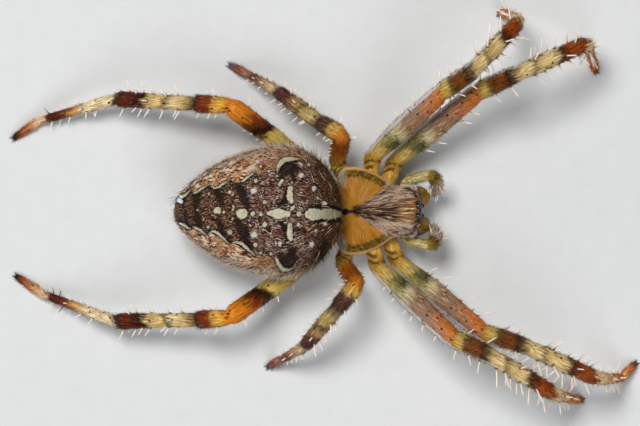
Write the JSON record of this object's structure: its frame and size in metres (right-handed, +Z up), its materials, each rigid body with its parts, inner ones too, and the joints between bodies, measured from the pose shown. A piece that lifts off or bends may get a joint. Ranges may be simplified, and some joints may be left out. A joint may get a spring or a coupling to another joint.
{
  "type": "orb_weaver_spider",
  "caption": "Garden orb weaver spider, grown female, life size, standing with its front legs reaching forward, a pale cross on its egg-shaped abdomen and banded spiny legs",
  "frame": {"origin": "On the floor, straight below the middle of the whole animal, legs included.", "axes": "+X points the way the head faces, +Y to the animal's left side, +Z up from the floor to its back."},
  "size_m": [0.038, 0.025, 0.0093],
  "materials": {
    "abdomen": "dull, short-haired skin, dark brown with cream spots and mottled tan flanks",
    "carapace": "satin amber cuticle with olive bands and a pale-haired head",
    "chelicera": "glossy olive-brown cuticle",
    "leg": "satin cuticle banded cream, orange and dark brown, with pale spines",
    "palp": "satin straw-yellow cuticle with short pale hairs",
    "eye": "glossy black beads",
    "fang": "glossy dark red-brown"
  },
  "bodies": {
    "root": {"abdomen": "abdomen", "cephalothorax": "carapace", "pedicel": "carapace", "spinnerets": "abdomen", "mouthparts": "chelicera", "chelicera_left": "chelicera", "fang_left": "fang", "eye_front_middle_left": "eye", "eye_rear_middle_left": "eye", "eye_front_side_left": "eye", "eye_rear_side_left": "eye", "chelicera_right": "chelicera", "fang_right": "fang", "eye_front_middle_right": "eye", "eye_rear_middle_right": "eye", "eye_front_side_right": "eye", "eye_rear_side_right": "eye", "leg_left_1_femur": "leg", "leg_left_1_tibia": "leg", "leg_left_1_tarsus": "leg", "leg_left_2_femur": "leg", "leg_left_2_tibia": "leg", "leg_left_2_tarsus": "leg", "leg_left_3_femur": "leg", "leg_left_3_tibia": "leg", "leg_left_3_tarsus": "leg", "leg_left_4_femur": "leg", "leg_left_4_tibia": "leg", "leg_left_4_tarsus": "leg", "leg_right_1_femur": "leg", "leg_right_1_tibia": "leg", "leg_right_1_tarsus": "leg", "leg_right_2_femur": "leg", "leg_right_2_tibia": "leg", "leg_right_2_tarsus": "leg", "leg_right_3_femur": "leg", "leg_right_3_tibia": "leg", "leg_right_3_tarsus": "leg", "leg_right_4_femur": "leg", "leg_right_4_tibia": "leg", "leg_right_4_tarsus": "leg", "palp_left_base": "palp", "palp_left_end": "palp", "palp_right_base": "palp", "palp_right_end": "palp"}
  },
  "joints": []
}
